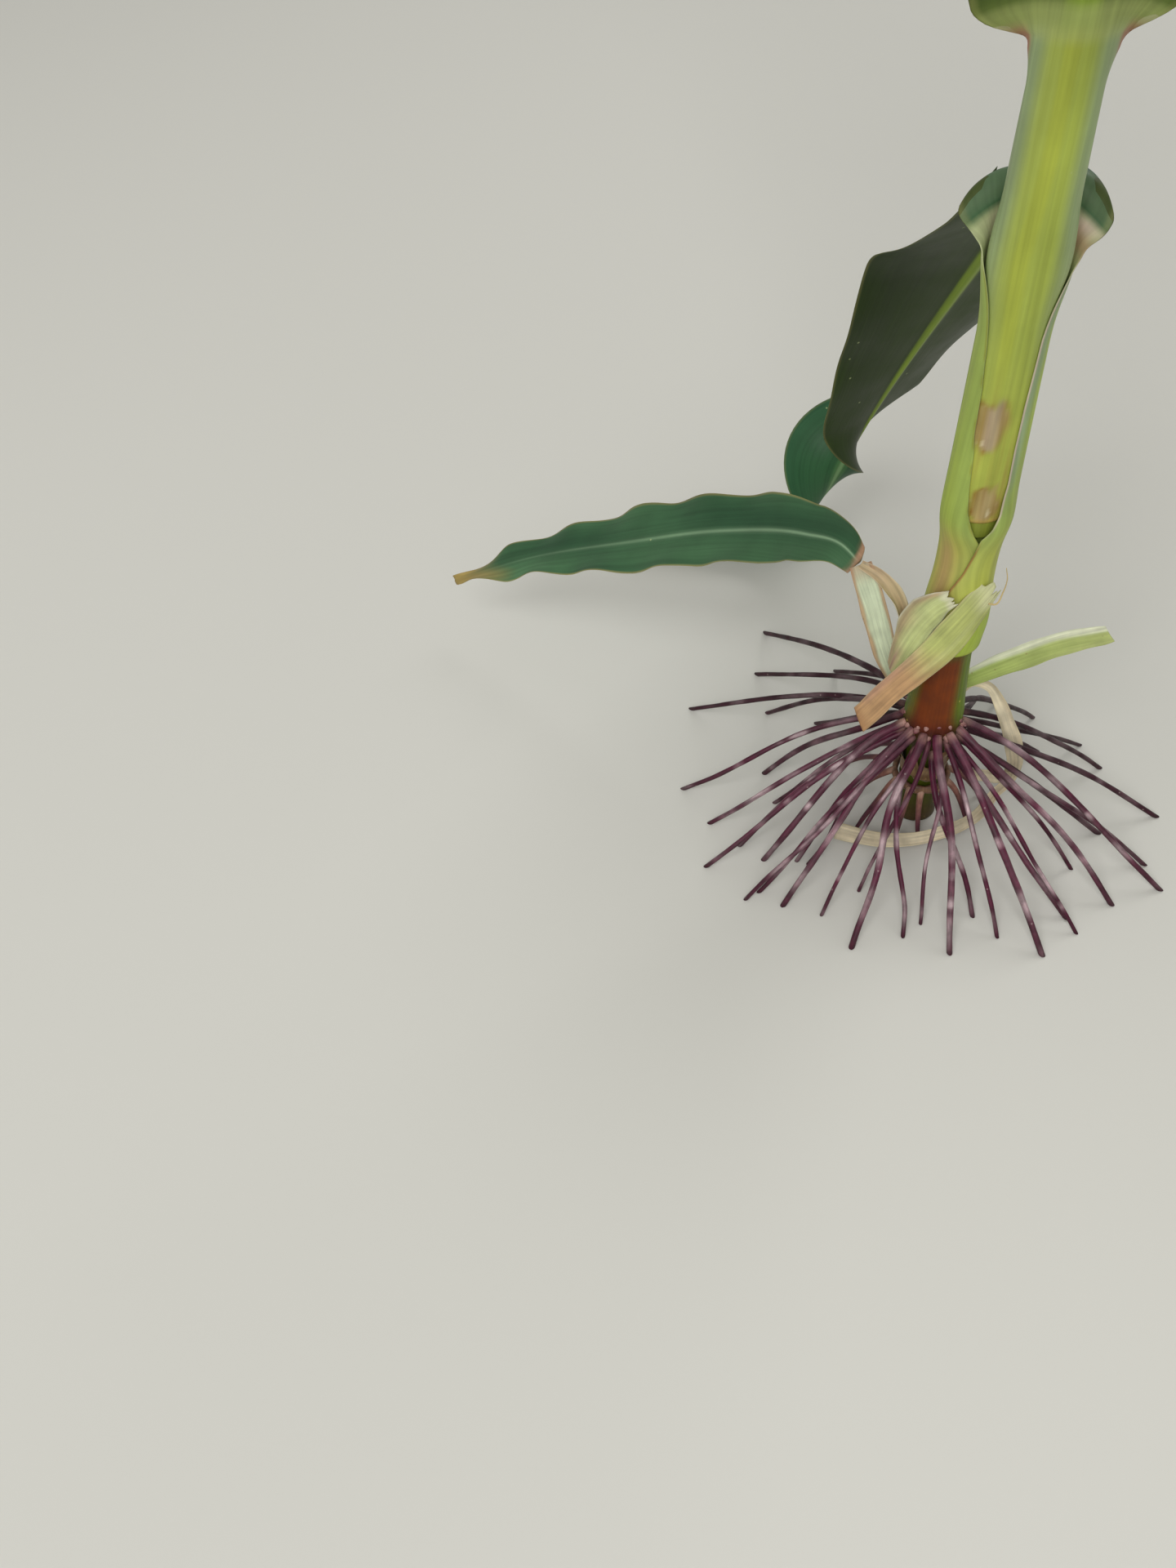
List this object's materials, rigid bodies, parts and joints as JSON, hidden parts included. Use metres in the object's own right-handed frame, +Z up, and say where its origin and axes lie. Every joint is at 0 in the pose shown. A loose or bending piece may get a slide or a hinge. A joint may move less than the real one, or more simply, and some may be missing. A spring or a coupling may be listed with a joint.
{
  "type": "maize plant",
  "caption": "Whole maize plant at silking: one upright stalk with arching brace roots at its foot, alternate strap leaves, a husked ear with silks and a branched tassel.",
  "frame": {"origin": "middle of the flat cut under the stalk, at ground level", "axes": "+Z up the stalk; -Y is the side that the picture shows, +X to its right"},
  "size_m": [1.0717, 1.2511, 2.3854],
  "materials": {
    "stalk": "smooth waxy rind, olive green to red-brown on the bare lower joints",
    "leaf": "ribbed green blade with a pale midrib, pale yellow-green sheath",
    "brace_root": "satin purple skin with pale bands",
    "torn_sheath": "dull fibrous, pale green and tan-pink",
    "dry_sheath": "dry, matt straw",
    "husk": "finely ribbed pale green",
    "silk": "fine threads, pale gold turning red-brown",
    "tassel": "matt scaly spikelets, straw yellow and green"
  },
  "bodies": {
    "root": {"stalk": "stalk", "leaf_13": "leaf", "leaf_13_tip": "leaf", "leaf_12": "leaf", "leaf_12_tip": "leaf", "leaf_11": "leaf", "leaf_11_tip": "leaf", "leaf_10": "leaf", "leaf_10_tip": "leaf", "leaf_09": "leaf", "leaf_09_tip": "leaf", "leaf_08": "leaf", "leaf_08_tip": "leaf", "leaf_07": "leaf", "leaf_07_tip": "leaf", "leaf_06": "leaf", "leaf_06_tip": "leaf", "leaf_05": "leaf", "leaf_05_tip": "leaf", "leaf_04": "leaf", "leaf_04_tip": "leaf", "leaf_03": "leaf", "leaf_03_tip": "leaf", "leaf_02": "leaf", "leaf_02_tip": "leaf", "leaf_01": "leaf", "leaf_01_tip": "leaf", "brace_root_01": "brace_root", "brace_root_02": "brace_root", "brace_root_03": "brace_root", "brace_root_04": "brace_root", "brace_root_05": "brace_root", "brace_root_06": "brace_root", "brace_root_07": "brace_root", "brace_root_08": "brace_root", "brace_root_09": "brace_root", "brace_root_10": "brace_root", "brace_root_11": "brace_root", "brace_root_12": "brace_root", "brace_root_13": "brace_root", "brace_root_14": "brace_root", "short_brace_root_01": "brace_root", "short_brace_root_02": "brace_root", "short_brace_root_03": "brace_root", "short_brace_root_04": "brace_root", "short_brace_root_05": "brace_root", "short_brace_root_06": "brace_root", "short_brace_root_07": "brace_root", "short_brace_root_08": "brace_root", "short_brace_root_09": "brace_root", "low_root_whorl": "brace_root", "torn_sheath_band": "torn_sheath", "torn_sheath_flap": "torn_sheath", "lowest_leaf_strip": "torn_sheath", "lowest_leaf_blade": "leaf", "sheath_stub": "torn_sheath", "dry_strap": "dry_sheath", "ear_husk": "husk", "ear_silk": "silk", "tassel": "tassel"}
  },
  "joints": []
}
